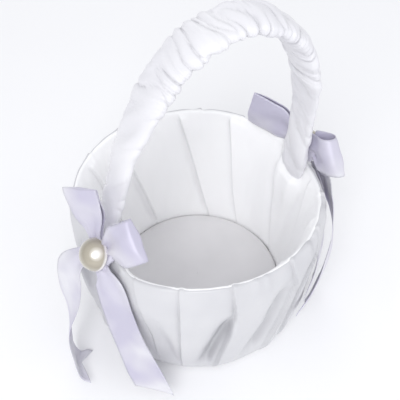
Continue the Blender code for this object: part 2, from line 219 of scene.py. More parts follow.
def arithmetic(tree, operation, first, second):
    """A sum on two values, each a number or another node's output."""
    node = add(tree, "ShaderNodeMath", operation=operation)
    for socket, value in zip(node.inputs, (first, second)):
        if isinstance(value, (int, float)):
            socket.default_value = value
        else:
            tree.links.new(value, socket)
    return node.outputs["Value"]


def bump(tree, height, distance, strength, following=None):
    """Surface relief from a height, laid over the relief it is following."""
    node = add(tree, "ShaderNodeBump")
    node.inputs["Distance"].default_value = distance
    node.inputs["Strength"].default_value = strength
    tree.links.new(height, node.inputs["Height"])
    if following is not None:
        tree.links.new(following, node.inputs["Normal"])
    return node.outputs["Normal"]


def weave(tree, coords, threads_per_metre):
    """The fine crossing threads of a satin weave: long floats one way, short ones the other."""
    long_threads = add(tree, "ShaderNodeTexWave", wave_type="BANDS", bands_direction="X")
    long_threads.inputs["Scale"].default_value = threads_per_metre / 20.0
    cross_threads = add(tree, "ShaderNodeTexWave", wave_type="BANDS", bands_direction="Z")
    cross_threads.inputs["Scale"].default_value = threads_per_metre / 50.0
    for texture in (long_threads, cross_threads):
        tree.links.new(coords, texture.inputs["Vector"])
    return arithmetic(tree, "MULTIPLY", long_threads.outputs["Fac"], cross_threads.outputs["Fac"])


MIX_FIRST, MIX_SECOND, MIX_RESULT = 6, 7, 2


def painted_crease_shade(tree, colour, reach, darkest_painted_shade):
    """The colour with painted shade: darkened towards grey where ambient occlusion finds the fabric folded close
    against itself.
    """
    closed = add(tree, "ShaderNodeAmbientOcclusion", samples=10, only_local=True)
    closed.inputs["Distance"].default_value = reach
    tone = ramp(tree, closed.outputs["AO"], [(0.30, darkest_painted_shade), (0.92, (1.0, 1.0, 1.0))])
    mix = add(tree, "ShaderNodeMix", data_type="RGBA", blend_type="MULTIPLY")
    mix.inputs["Factor"].default_value = 1.0
    tree.links.new(colour, mix.inputs[MIX_FIRST])
    tree.links.new(tone, mix.inputs[MIX_SECOND])
    return mix.outputs[MIX_RESULT]


# Painted crease shade: the share of the satin's own colour left where the fabric folds close against itself.
SATIN_PAINTED_CREASE_SHADE = (0.50, 0.50, 0.52)


def satin(name, light, shade, roughness=0.36, sheen=0.25, anisotropic=0.35, reach=0.010):
    """White satin: soft sheen, cloudy tone, painted shade in its creases, slubs along the thread and a fine weave.
    """
    material, tree, shader = new_material(name, light, roughness)
    coords = add(tree, "ShaderNodeTexCoord").outputs["Object"]
    cloudy = noise_of(tree, coords, 22.0, 3.0)
    tone = ramp(tree, cloudy, [(0.35, shade), (0.65, light)])
    # Painted shade in the creases, laid over the cloudy tone.
    tree.links.new(painted_crease_shade(tree, tone, reach, SATIN_PAINTED_CREASE_SHADE), shader.inputs["Base Color"])
    slubs = noise_of(tree, coords, 260.0, 3.0, (1.0, 1.0, 0.12))
    tree.links.new(remap(tree, slubs, roughness - 0.07, roughness + 0.09), shader.inputs["Roughness"])
    threads = bump(tree, weave(tree, coords, 4200.0), 0.00005, 0.25)
    creased = bump(tree, noise_of(tree, coords, 70.0, 4.0, (1.0, 1.0, 0.35)), 0.0006, 0.20, threads)
    tree.links.new(bump(tree, slubs, 0.00006, 0.15, creased), shader.inputs["Normal"])
    shader.inputs["Sheen Weight"].default_value = sheen
    shader.inputs["Sheen Roughness"].default_value = 0.35
    shader.inputs["Anisotropic"].default_value = anisotropic
    shader.inputs["Specular IOR Level"].default_value = 0.7
    return material


WOVEN_EDGE_SHARE = 0.035
# Colour of the painted highlight patches on the ribbon.
RIBBON_PAINTED_HIGHLIGHT = (0.75, 0.745, 0.79)
RIBBON_EDGE_THREAD = (0.62, 0.62, 0.68, 1.0)


def ribbon_satin(name, light, shade):
    """Single-face satin ribbon: long sheen across, painted highlight and painted shade in cloudy patches, painted
    shade in its creases, and a narrow dotted woven edge on both sides.
    """
    material, tree, shader = new_material(name, light, 0.32)
    texture = add(tree, "ShaderNodeTexCoord")
    split = add(tree, "ShaderNodeSeparateXYZ")
    tree.links.new(texture.outputs["UV"], split.inputs["Vector"])
    off_middle = arithmetic(tree, "SUBTRACT", split.outputs["X"], 0.5)
    from_edge = arithmetic(tree, "SUBTRACT", 0.5, arithmetic(tree, "ABSOLUTE", off_middle, 0.0))
    on_edge = arithmetic(tree, "LESS_THAN", from_edge, WOVEN_EDGE_SHARE)
    dots = add(tree, "ShaderNodeTexWave", wave_type="BANDS", bands_direction="Y")
    dots.inputs["Scale"].default_value = 110.0
    tree.links.new(texture.outputs["UV"], dots.inputs["Vector"])
    edge_dots = arithmetic(tree, "MULTIPLY", on_edge, dots.outputs["Fac"])
    # Painted highlight and painted shade: a cloudy noise lays the shade colour, the light colour and the painted
    # highlight over the ribbon in patches.
    painted_sheen = noise_of(tree, texture.outputs["Object"], 38.0, 1.5)
    body = ramp(tree, painted_sheen, [(0.36, shade), (0.52, light), (0.66, RIBBON_PAINTED_HIGHLIGHT)])
    mix = add(tree, "ShaderNodeMix", data_type="RGBA")
    tree.links.new(arithmetic(tree, "MULTIPLY", edge_dots, 0.55), mix.inputs["Factor"])
    tree.links.new(body, mix.inputs[MIX_FIRST])
    mix.inputs[MIX_SECOND].default_value = RIBBON_EDGE_THREAD
    # Painted shade where the ribbon folds close against itself.
    creased = painted_crease_shade(tree, mix.outputs[MIX_RESULT], 0.008, (0.84, 0.83, 0.88))
    tree.links.new(creased, shader.inputs["Base Color"])
    streaks = noise_of(tree, texture.outputs["UV"], 60.0, 3.0, (4.0, 40.0, 1.0))
    tree.links.new(remap(tree, streaks, 0.38, 0.52), shader.inputs["Roughness"])
    fine = bump(tree, streaks, 0.00006, 0.3)
    tree.links.new(bump(tree, edge_dots, 0.0002, 0.6, fine), shader.inputs["Normal"])
    shader.inputs["Anisotropic"].default_value = 0.45
    shader.inputs["Specular IOR Level"].default_value = 0.6
    shader.inputs["Metallic"].default_value = 0.15
    shader.inputs["Sheen Weight"].default_value = 0.15
    return material


def pearl_lacquer():
    """Imitation pearl: a painted highlight where it faces the eye, a painted reflection of dark surroundings as a
    taupe ring around that, paler again towards the edge, a pale foot and a clear coat.
    """
    material, tree, shader = new_material("pearl_lacquer_look", (0.80, 0.77, 0.70), 0.20)
    # Painted highlight and painted reflection: the colour follows how far the surface turns from the eye.
    turned = add(tree, "ShaderNodeLayerWeight")
    turned.inputs["Blend"].default_value = 0.5
    painted_sheen = ramp(tree, turned.outputs["Facing"], [
        (0.01, (0.96, 0.95, 0.91)), (0.04, (0.72, 0.68, 0.60)), (0.10, (0.48, 0.44, 0.36)),
        (0.35, (0.38, 0.345, 0.275)), (0.60, (0.46, 0.43, 0.36)), (0.85, (0.66, 0.62, 0.55))])
    texture = add(tree, "ShaderNodeTexCoord")
    split = add(tree, "ShaderNodeSeparateXYZ")
    tree.links.new(texture.outputs["UV"], split.inputs["Vector"])
    foot = ramp(tree, split.outputs["Y"], [(0.80, (0.0, 0.0, 0.0)), (0.87, (1.0, 1.0, 1.0))])
    mix = add(tree, "ShaderNodeMix", data_type="RGBA")
    tree.links.new(foot, mix.inputs["Factor"])
    tree.links.new(painted_sheen, mix.inputs[MIX_FIRST])
    mix.inputs[MIX_SECOND].default_value = (0.88, 0.86, 0.83, 1.0)
    tree.links.new(mix.outputs[MIX_RESULT], shader.inputs["Base Color"])
    coords = texture.outputs["Object"]
    tree.links.new(bump(tree, noise_of(tree, coords, 900.0), 0.00002, 0.3), shader.inputs["Normal"])
    tree.links.new(remap(tree, noise_of(tree, coords, 160.0), 0.17, 0.27), shader.inputs["Roughness"])
    shader.inputs["Coat Weight"].default_value = 0.6
    shader.inputs["Coat Roughness"].default_value = 0.12
    shader.inputs["Metallic"].default_value = 0.20
    return material


def inner_material(name, light, dark, roughness, scale, stretch=(1.0, 1.0, 1.0), metallic=0.0):
    """A plain procedural finish for the pieces inside the wall, the pad and the handle."""
    material, tree, shader = new_material(name, light, roughness)
    coords = add(tree, "ShaderNodeTexCoord").outputs["Object"]
    grain = noise_of(tree, coords, scale, 5.0, stretch)
    tree.links.new(ramp(tree, grain, [(0.3, dark), (0.7, light)]), shader.inputs["Base Color"])
    tree.links.new(remap(tree, grain, roughness - 0.05, roughness + 0.05), shader.inputs["Roughness"])
    tree.links.new(bump(tree, grain, 0.0002, 0.4), shader.inputs["Normal"])
    shader.inputs["Metallic"].default_value = metallic
    return material


# The wall satin is coloured darker than the handle's same satin: painted shade.
wall_painted_shade_look = satin("wall_satin_painted_shade_look", (0.66, 0.66, 0.68), (0.61, 0.61, 0.635),
                  roughness=0.44, sheen=0.12, reach=0.016)
# The lining satin is coloured lighter than the handle's same satin: painted light against the shade inside the
# bowl.
lining_painted_light_look = satin("lining_satin_painted_light_look", (0.985, 0.985, 0.99), (0.965, 0.965, 0.975),
                    roughness=0.38, reach=0.006)
handle_look = satin("handle_satin_look", (0.81, 0.805, 0.83), (0.76, 0.755, 0.79),
                    roughness=0.38, reach=0.008)
# The floor pad's satin is coloured darker than the handle's same satin: painted shade at the bottom of the bowl.
floor_look = satin("floor_satin_painted_shade_look", (0.77, 0.76, 0.77), (0.72, 0.71, 0.72), roughness=0.48)
# The ribbon's second colour is the painted shade of its cloudy patches.
ribbon_look = ribbon_satin("ribbon_satin_look", (0.64, 0.625, 0.705), (0.555, 0.535, 0.655))
pearl_look = pearl_lacquer()
wadding_look = inner_material("wadding_look", (0.88, 0.88, 0.86), (0.74, 0.74, 0.72), 0.95, 400.0)
board_look = inner_material("grey_board_look", (0.60, 0.58, 0.54), (0.46, 0.44, 0.41), 0.85, 300.0)
strip_look = inner_material("strip_plastic_look", (0.86, 0.86, 0.84), (0.80, 0.80, 0.78), 0.45, 200.0,
                            (1.0, 0.1, 1.0))
staple_look = inner_material("staple_steel_look", (0.70, 0.71, 0.73), (0.55, 0.56, 0.58), 0.30, 900.0,
                             metallic=1.0)
glue_look = inner_material("adhesive_look", (0.85, 0.83, 0.76), (0.78, 0.76, 0.68), 0.40, 500.0)

INNER_LOOKS = {
    "wall_core": board_look, "base_board": board_look, "floor_board": board_look,
    "floor_wadding": wadding_look, "handle_wadding": wadding_look, "handle_strip": strip_look,
    "left_staple": staple_look, "right_staple": staple_look,
    "left_pearl_seat": glue_look, "right_pearl_seat": glue_look,
}
for node_name, look in INNER_LOOKS.items():
    nodes[node_name].data.materials.clear()
    nodes[node_name].data.materials.append(look)


# ---------------------------------------------------------------- wall: the shape both fabrics share

# The wall is drawn in behind the left bow: where, how far, over how many degrees and how far down.
PULL_ANGLE = 188.0
PULL_DEPTH = 0.115
PULL_REACH = 24.0
PULL_DEPTH_DOWN = 0.55
# The rim sinks at the handle's two feet, in metres, and the power that keeps this local.
RIM_SAG = 0.0044
SAG_SHARPNESS = 6


def rim_wave(angle):
    """How the rolled rim rises and sinks: slow waves, and a small peak where each outer pleat is folded in."""
    turn = math.radians(angle)
    wave = 0.0009 * noise.noise(Vector((math.cos(turn) * 2.6, math.sin(turn) * 2.6, 8.0)))
    wave += 0.0004 * noise.noise(Vector((math.cos(turn) * 9.0, math.sin(turn) * 9.0, 3.0)))
    for pleat in OUTER_PLEATS:
        apart = angle_between(angle, pleat["line"][0][1])
        if abs(apart) < 8.0:
            wave += 0.30 * pleat["rise"] * (bell((apart - 1.0) / 1.1) - 0.6 * bell((apart + 1.2) / 1.6))
    return wave


def settle(point, angle):
    """Draws a wall point in behind the left bow and lets the rim wave and sink at the handle's feet."""
    height = (point.z - RIM_HEIGHT) / RIM_RADIUS
    across = math.exp(-((angle_between(angle, PULL_ANGLE) / PULL_REACH) ** 4))
    down = min(1.0, max(0.0, 1.0 + height / PULL_DEPTH_DOWN))
    shrink = 1.0 - PULL_DEPTH * across * down * down * (3.0 - 2.0 * down)
    level = min(1.0, max(0.0, point.z / RIM_HEIGHT))
    sag = RIM_SAG * abs(math.cos(math.radians(angle))) ** SAG_SHARPNESS * level ** 3
    lift = rim_wave(angle) * smooth(-0.22, -0.02, height) if height > -0.22 else 0.0
    return Vector((point.x * shrink, point.y * shrink, point.z - sag + lift))


def knife_step(distance, rise, dip, reach):
    """Cross-section of a pleat: a sharp edge at 0, standing over the side where distance is negative."""
    edge = smooth(-0.0004, 0.0005, distance)
    over = rise * math.exp(-max(distance, 0.0) / reach)
    under = -dip * math.exp(min(distance, 0.0) / (0.35 * reach))
    return under * (1.0 - edge) + over * edge


def hollow(distance, width_near, width_far):
    """Cross-section of a sagging pocket, steep on the pleat's side and gentle on the other."""
    width = width_near if distance > 0.0 else width_far
    return bell(distance / width)


# Pleat lines as tables of (height, angle), and how strongly each stands out.
random.seed(11)
OUTER_PLEATS = [
    {"line": [(0.0, -142.6), (-0.30, -139.0), (-0.74, -136.0), (-1.25, -134.5)], "rise": 0.0007},
    {"line": [(0.0, -122.6), (-0.31, -122.2), (-1.25, -123.6)], "rise": 0.0019},
    {"line": [(0.0, -101.2), (-0.29, -99.8), (-0.59, -101.0), (-0.87, -104.5), (-1.25, -108.5)],
     "rise": 0.0025},
    {"line": [(0.0, -73.0), (-0.11, -72.0), (-0.33, -69.0), (-0.63, -71.8), (-0.94, -77.8), (-1.25, -82.0)],
     "rise": 0.0024},
    {"line": [(0.0, -50.5), (-0.18, -54.0), (-0.31, -59.5), (-0.49, -62.8), (-0.90, -66.0), (-1.25, -68.0)],
     "rise": 0.0015},
]
for rim_angle in (-29.0, -6.0, 17.0, 39.0, 62.0, 85.0, 107.0, 130.0, 153.0, 176.0, -163.0):
    lean = random.uniform(4.0, 9.0)
    bulge = random.uniform(-1.0, 3.0)
    OUTER_PLEATS.append({"line": [(0.0, rim_angle), (-0.3, rim_angle + bulge - lean * 0.1),
                                  (-0.8, rim_angle + bulge - lean * 0.6), (-1.25, rim_angle - lean)],
                         "rise": random.uniform(0.0013, 0.0019)})

# Pockets where the fabric sags beside a pleat: centre line, depth, width towards the pleat and away from it,
# and the heights where the pocket begins and where it is fully deep.
OUTER_POCKETS = [
    {"line": [(-0.20, -136.5), (-0.48, -133.0), (-0.86, -129.5), (-1.25, -126.5)], "depth": 0.0032,
     "near": 0.0055, "far": 0.0090, "top": -0.25, "full": -0.75},
    {"line": [(-0.45, -101.8), (-0.60, -103.2), (-0.81, -107.0), (-1.06, -110.5), (-1.25, -112.0)],
     "depth": 0.0070, "near": 0.0030, "far": 0.0070, "top": -0.26, "full": -0.62},
    {"line": [(-0.15, -74.0), (-0.40, -73.5), (-0.65, -76.2), (-0.90, -81.5), (-1.25, -88.0)],
     "depth": 0.0078, "near": 0.0044, "far": 0.0115, "top": -0.10, "full": -0.55},
    {"line": [(-0.20, -57.5), (-0.40, -63.5), (-0.80, -67.5), (-1.25, -72.0)], "depth": 0.0020,
     "near": 0.0032, "far": 0.0062, "top": -0.10, "full": -0.50},
    {"line": [(-0.10, -163.0), (-0.40, -160.0), (-0.80, -156.0), (-1.25, -152.0)], "depth": 0.0016,
     "near": 0.0060, "far": 0.0080, "top": -0.05, "full": -0.40},
]
for pleat in OUTER_PLEATS[5:-1]:
    beside = random.uniform(2.5, 4.5)
    OUTER_POCKETS.append({"line": [(place, angle - beside * (0.6 - place)) for place, angle in pleat["line"]],
                          "depth": random.uniform(0.0022, 0.0040), "near": 0.0030,
                          "far": random.uniform(0.0055, 0.0075), "top": random.uniform(-0.35, -0.10),
                          "full": random.uniform(-0.85, -0.55)})

# Small tucks gathered into the rim: angle, width in degrees, depth.
TUCK_LEAN = 4.0
RIM_TUCKS = [(-90.5, 2.2, 0.0012), (-86.0, 1.6, 0.0009), (-150.0, 2.5, 0.0010), (-62.0, 3.0, 0.0022),
             (-57.0, 1.8, -0.0016), (-40.0, 4.0, 0.0010), (-33.0, 2.2, -0.0007)]


PLEAT_FAR = 26.0
POCKET_FAR = 20.0
OUTER_PLEAT_REACH = 0.0085
OUTER_DIP_SHARE = 0.45


def outer_height(angle, height):
    """How far the cover stands off its plain shape, in metres."""
    radius = RIM_RADIUS * math.pi / 180.0
    total = 0.0
    for pleat in OUTER_PLEATS:
        apart = angle_between(angle, along_table(pleat["line"], height))
        if abs(apart) < PLEAT_FAR:
            strength = 0.50 + 0.50 * smooth(-0.01, -0.30, height)
            dip = pleat["rise"] * OUTER_DIP_SHARE
            total += strength * knife_step(apart * radius, pleat["rise"], dip, OUTER_PLEAT_REACH)
    for pocket in OUTER_POCKETS:
        apart = angle_between(angle, along_table(pocket["line"], height))
        if abs(apart) < POCKET_FAR:
            share = smooth(pocket["top"], pocket["full"], height)
            total -= share * pocket["depth"] * hollow(apart * radius, pocket["near"], pocket["far"])
    for tuck_angle, width, depth in RIM_TUCKS:
        apart = angle_between(angle, tuck_angle - TUCK_LEAN * height)
        total += depth * bell(apart / width) * smooth(-0.22, 0.0, height)
    turn = math.radians(angle)
    drift = Vector((math.cos(turn) * 3.2 - height * 0.6, math.sin(turn) * 3.2 + height * 0.6, height * 1.1))
    total += 0.0011 * noise.noise(drift) + 0.0005 * noise.noise(drift * 2.7)
    return total


# Outlines of (radius, height), from the inner end of the rolled rim down to the ground.
COVER_OUTLINE = [(0.960, -0.032), (0.962, -0.016), (0.971, -0.005), (0.983, -0.002), (0.994, -0.008),
                 (1.004, -0.030), (1.024, -0.11), (1.032, -0.25), (1.022, -0.45), (0.998, -0.72),
                 (0.968, -1.00), (0.935, -1.15), (0.905, -1.222), (0.880, -1.2445)]
HEM_OUTLINE = [(0.862, -1.2455), (0.845, -1.2450), (0.830, -1.2430)]
HEM_DEPTH = 0.032
COLUMNS = 900
COVER_ROWS = 104
LINING_ROWS = 84
FABRIC = 0.0005
THIN_FABRIC = 0.0004
HEM_PUCKER = 0.0035
HEM_PUCKERS = 23.0
RIM_ROLL_LEVEL = -0.05


def wall_rows(outline, row_count, relief, inward):
    """Rows of points around the basket: the outline turned about Z, raised by the relief and settled."""
    line, _ = evenly(catmull([Vector((r, h, 0.0)) for r, h in outline], row_count * 4), row_count)
    rows = []
    for point, along in zip(line, tangents(line)):
        out = Vector((-along.y, along.x, 0.0)) if not inward else Vector((along.y, -along.x, 0.0))
        row = []
        for i in range(COLUMNS):
            angle = 360.0 * i / COLUMNS
            lift = relief(angle, point.x, point.y) / RIM_RADIUS
            radius = point.x + out.x * lift
            height = point.y + out.y * lift
            turn = math.radians(angle)
            row.append(settle(at(radius * math.cos(turn), radius * math.sin(turn), height), angle))
        rows.append(row)
    return rows


def cover_relief(angle, radius, height):
    """The cover's relief, faded out at the ground and inside the rolled rim."""
    near_ground = smooth(COVER_OUTLINE[-1][1], -1.02, height)
    off_the_roll = smooth(0.965, 0.992, radius) if height > RIM_ROLL_LEVEL else 1.0
    return outer_height(angle, height) * near_ground * off_the_roll


def build_cover():
    """The satin cover with its puckered hem turned in under the basket."""
    rows = wall_rows(COVER_OUTLINE, COVER_ROWS, cover_relief, inward=False)
    hem = []
    for radius, height in HEM_OUTLINE:
        row = []
        for i in range(COLUMNS):
            turn = 2.0 * math.pi * i / COLUMNS
            pucker = HEM_PUCKER * abs(math.sin(turn * HEM_PUCKERS + 2.0 * math.sin(turn * 5.0)))
            spread = radius - pucker * (HEM_OUTLINE[0][0] - radius) / HEM_DEPTH
            row.append(at(spread * math.cos(turn), spread * math.sin(turn), height))
        hem.append(row)
    cover = grid_object("satin_cover", rows + hem, wall_painted_shade_look, around=True, thickness=FABRIC, offset=1.0)
    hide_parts("outer_cover", "wall_wadding")
    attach(cover, "basket")


# ---------------------------------------------------------------- lining

INNER_PLEATS = [
    {"line": [(0.0, 75.2), (-0.40, 68.9), (-0.80, 62.6), (-1.20, 55.0)], "rise": 0.0019, "valley": 0.0020},
    {"line": [(0.0, 46.9), (-0.35, 43.1), (-0.79, 39.3), (-1.20, 32.5)], "rise": 0.0019, "valley": 0.0010},
    {"line": [(0.0, 13.5), (-0.11, 11.2), (-0.35, 8.2), (-0.75, 5.5), (-1.20, -2.5)], "rise": 0.0016,
     "valley": 0.0016},
    {"line": [(0.0, 112.0), (-0.45, 107.1), (-0.70, 102.9), (-1.20, 95.5)], "rise": 0.0016, "valley": 0.0020},
    {"line": [(0.0, 137.0), (-0.5, 131.0), (-1.20, 122.0)], "rise": 0.0014, "valley": 0.0015},
    {"line": [(0.0, 160.0), (-0.6, 155.0), (-1.20, 150.0)], "rise": 0.0012, "valley": 0.0015},
    {"line": [(0.0, -15.0), (-0.43, -24.0), (-1.20, -34.0)], "rise": 0.0014, "valley": 0.0012},
    {"line": [(0.0, -42.0), (-0.5, -50.0), (-1.20, -58.0)], "rise": 0.0015, "valley": 0.0014},
    {"line": [(0.0, -72.0), (-0.6, -79.0), (-1.20, -87.0)], "rise": 0.0015, "valley": 0.0014},
    {"line": [(0.0, -100.0), (-0.6, -107.0), (-1.20, -114.0)], "rise": 0.0016, "valley": 0.0016},
    {"line": [(0.0, -124.0), (-0.6, -131.0), (-1.20, -138.0)], "rise": 0.0014, "valley": 0.0014},
    {"line": [(0.0, -150.0), (-0.6, -156.0), (-1.20, -163.0)], "rise": 0.0014, "valley": 0.0014},
]
LINING_OUTLINE = [(0.977, 0.0012), (0.969, -0.001), (0.958, -0.012), (0.946, -0.04), (0.908, -0.16),
                  (0.872, -0.35), (0.828, -0.62), (0.785, -0.92), (0.756, -1.13), (0.750, -1.195)]
LINING_MEAN_RADIUS = 0.9
LINING_DIP = 0.0006
LINING_PLEAT_REACH = 0.0095
VALLEY_BESIDE = 0.0035
FOOT_ANGLES = (0.0, 180.0)
FOOT_HALF_ANGLE = 10.8
FOOT_NARROWING = 5.0
FOOT_SWELL = 0.0058


def foot_bulge(angle, height):
    """The lining swells over the handle's feet, in a V that narrows downwards."""
    total = 0.0
    for foot in FOOT_ANGLES:
        apart = abs(angle_between(angle, foot))
        half = FOOT_HALF_ANGLE - FOOT_NARROWING * smooth(-0.20, -0.75, height)
        flank = 1.0 - smooth(half * 0.45, half * 1.35, apart)
        rise = smooth(-0.10, -0.22, height) * (1.0 - smooth(-0.26, -0.80, height))
        total += FOOT_SWELL * flank * rise
    return total


def inner_height(angle, height):
    """How far the lining stands off its plain shape towards the axis, in metres."""
    radius = RIM_RADIUS * LINING_MEAN_RADIUS * math.pi / 180.0
    total = foot_bulge(angle, height)
    for pleat in INNER_PLEATS:
        apart = -angle_between(angle, along_table(pleat["line"], height))
        if abs(apart) < PLEAT_FAR:
            distance = apart * radius
            total += knife_step(distance, pleat["rise"], LINING_DIP, LINING_PLEAT_REACH)
            share = smooth(-0.15, -0.70, height)
            total -= pleat["valley"] * share * hollow(distance + VALLEY_BESIDE, 0.0030, 0.0060)
    turn = math.radians(angle)
    drift = Vector((math.cos(turn) * 3.0 + 7.0, math.sin(turn) * 3.0, height * 1.3))
    total += 0.0010 * noise.noise(drift) + 0.0004 * noise.noise(drift * 3.0)
    return total


def lining_relief(angle, _radius, height):
    """The lining's relief, faded out at the floor and at the rim."""
    foot = 0.15 + 0.85 * smooth(-1.19, -1.0, height)
    return inner_height(angle, height) * foot * smooth(-0.018, -0.08, height)


def build_lining():
    """The pleated lining inside the wall."""
    rows = wall_rows(LINING_OUTLINE, LINING_ROWS, lining_relief, inward=True)
    lining = grid_object("satin_lining", rows, lining_painted_light_look, around=True, thickness=FABRIC, offset=-1.0)
    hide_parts("inner_lining")
    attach(lining, "basket")


# ---------------------------------------------------------------- floor pad and underside

PAD_EASE = 0.0006
PAD_CROWN = 0.0009
PAD_ROUNDING = 0.0012
UNDERSIDE_CLEARANCE = 0.0007


def disc_rows(radius, ring_count, columns, height_at):
    """Rings of points from the centre of a disc to its edge."""
    rows = []
    for r in range(ring_count + 1):
        share = max(r / ring_count, 0.0001)
        row = []
        for i in range(columns):
            turn = 2.0 * math.pi * i / columns
            x = radius * share * math.cos(turn)
            y = radius * share * math.sin(turn)
            row.append(Vector((x, y, height_at(share, x, y))))
        rows.append(row)
    return rows


def build_floor_pad():
    """The satin cap of the padded floor disc, with a skirt tucked under its edge."""
    low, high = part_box("floor_cover")
    radius = high.x + PAD_EASE

    def top(share, x, y):
        """Height of the cap: crowned, rounded off at the edge and slightly rippled."""
        crown = PAD_CROWN * (1.0 - share ** 4)
        edge = -PAD_ROUNDING * smooth(0.975, 1.0, share) ** 2
        ripple = 0.00035 * noise.noise(Vector((x * 55.0 + y * 30.0, y * 18.0 - x * 9.0, 3.0)))
        return high.z - THIN_FABRIC + crown + edge + ripple

    rows = disc_rows(radius, 60, 256, top)
    skirt = [[Vector((p.x * grow, p.y * grow, z)) for p in rows[-1]]
             for grow, z in ((1.001, low.z + 0.0012), (1.000, low.z + 0.0002), (0.985, low.z))]
    pad = grid_object("floor_satin", rows + skirt, floor_look, around=True,
                      thickness=THIN_FABRIC, offset=-1.0)
    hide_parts("floor_cover")
    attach(pad, "floor_pad")


def build_underside():
    """The satin disc that closes the underside."""
    low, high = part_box("underside_cover")

    def under(share, x, y):
        """Height of the disc: slightly rippled and raised at its edge."""
        ripple = 0.00015 * noise.noise(Vector((x * 90.0, y * 90.0, 1.0)))
        return low.z + UNDERSIDE_CLEARANCE + ripple + 0.0004 * smooth(0.9, 1.0, share)

    rows = disc_rows(high.x, 24, 180, under)
    under_disc = grid_object("underside_satin", [row[::-1] for row in rows], wall_painted_shade_look, around=True,
                             thickness=THIN_FABRIC, offset=-1.0)
    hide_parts("underside_cover")
    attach(under_disc, "basket")


# ---------------------------------------------------------------- handle

# The handle's centre line as (x, height), from the left foot inside the wall to the right one.
HANDLE_LINE = [(-0.826, -0.27), (-0.818, -0.20), (-0.800, -0.145), (-0.758, -0.02), (-0.695, 0.13), (-0.645, 0.28),
               (-0.580, 0.51), (-0.460, 0.79), (-0.295, 1.045), (-0.090, 1.275), (0.130, 1.378), (0.355, 1.402),
               (0.580, 1.320), (0.765, 1.130), (0.875, 0.87), (0.918, 0.60), (0.920, 0.30), (0.906, 0.05),
               (0.892, -0.145), (0.902, -0.20), (0.906, -0.27)]
HANDLE_WIDTH = 0.0222
HANDLE_THICKNESS = 0.0062
HANDLE_FULLNESS = 0.24
HANDLE_ROWS = 1100
HANDLE_AROUND = 52
HANDLE_CROWN = 0.0008

# Shares of the handle's length where the gathers start, are full, wane and end.
GATHERED = (0.28, 0.35, 0.71, 0.78)
PUFF_SPACING = 0.0086
PUFF_HEIGHT = 0.0026
FINE_HEIGHT = 0.0010
DRAPE_HEIGHT = 0.0022
CROSS_FOLD_HEIGHT = 0.0010


def gathering(share):
    """How tightly the sleeve is gathered, 0 on the plain legs and 1 over the arch."""
    start, full, waning, end = GATHERED
    return smooth(start, full, share) * (1.0 - smooth(waning, end, share))


def ruched_height(place, across, gathered, seed):
    """Height of the gathers: rounded puffs between sharp creases that lean, wander and run into each other."""
    along = place / PUFF_SPACING
    lean = 0.20 + 0.90 * noise.noise(Vector((along * 0.35, seed, 0.0)))
    wander = 0.60 * noise.noise(Vector((along * 0.45, across * 0.8, seed)))
    puff = abs(noise.noise(Vector((along + lean * across + wander, across * 0.26, seed + 4.0))))
    puff = min(1.0, 2.1 * puff) ** 0.65
    fine = abs(noise.noise(Vector((along * 2.7 + 2.2 * lean * across + wander, across * 0.5, seed + 9.0))))
    fine = min(1.0, 2.4 * fine) ** 0.8
    at_edge = 0.45 + 0.55 * smooth(0.35, 1.0, abs(across))
    draped = noise.noise(Vector((along * 0.62 + 0.9 * across, across * 0.5, seed + 13.0)))
    crossing = abs(noise.noise(Vector((along * 0.70 + 1.0 * across, across * 0.3, seed + 17.0))))
    plain = DRAPE_HEIGHT * draped + CROSS_FOLD_HEIGHT * min(1.0, 2.5 * crossing) ** 0.7
    crowding = 0.75 + 1.1 * noise.noise(Vector((along * 0.9, across * 0.6, seed + 21.0)))
    ruched = PUFF_HEIGHT * puff + FINE_HEIGHT * crowding * fine * at_edge
    return gathered * ruched + (1.0 - gathered) * plain


def sleeve_ring(centre, along, share, length):
    """One ring of the sleeve: a flattened oval, tucked in at the feet and gathered over the arch."""
    side = Vector((0.0, 1.0, 0.0))
    outward = along.cross(side).normalized()
    height = (centre.z - RIM_HEIGHT) / RIM_RADIUS
    full = 1.0 + HANDLE_FULLNESS * smooth(0.35, 1.0, height)
    tuck = 0.40 + 0.60 * smooth(-0.24, -0.09, height)
    half_width = HANDLE_WIDTH / 2 * full * (0.86 + 0.14 * tuck)
    half_thick = HANDLE_THICKNESS / 2 * tuck
    gathered = gathering(share)
    ring = []
    for i in range(HANDLE_AROUND):
        turn = 2.0 * math.pi * i / HANDLE_AROUND
        c, s = math.cos(turn), math.sin(turn)
        across = math.copysign(abs(c) ** 0.62, c)
        out = math.copysign(abs(s) ** 0.85, s)
        relief = ruched_height(length * share, across, gathered, 2.0 + 0.25 * out)
        edge = abs(across) ** 5
        lift = relief * (1.0 - 0.35 * edge)
        flare = relief * edge * 0.9
        crown = HANDLE_CROWN * gathered * (1.0 - across * across)
        aside = across * half_width + math.copysign(flare, across) * tuck
        above = out * (half_thick + crown) + math.copysign(lift, out) * abs(out) ** 0.5 * tuck
        ring.append(centre + side * aside + outward * above)
    return ring


def build_handle():
    """The satin sleeve along the handle's centre line."""
    line, length = evenly(catmull([at(x, 0.0, z) for x, z in HANDLE_LINE], 600), HANDLE_ROWS)
    rows = []
    for r, (centre, along) in enumerate(zip(line, tangents(line))):
        rows.append(sleeve_ring(centre, along, r / (HANDLE_ROWS - 1), length))
    sleeve = grid_object("ruched_sleeve", rows, handle_look, around=True, length=length)
    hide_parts("handle_sleeve")
    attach(sleeve, "basket")


# ---------------------------------------------------------------- bows

RIBBON_WIDTH = 0.0250
RIBBON_THICKNESS = 0.0004
RIBBON_ACROSS = 17
GATHER = 0.36

LOOP_STEPS = 90
LOOP_START = 0.0060
LOOP_BELLY = 0.0062
LOOP_FIRST_TURN = 16.0
LOOP_WHOLE_TURN = 328.0
LOOP_CREASE = 0.0014
LOOP_CUP = 0.0016
RIBBON_WAVE = 0.0011

TAIL_STEPS = 110
TAIL_CREASE = 0.0009
TAIL_CURL = 0.0009
TAIL_CUT_FROM = 0.72

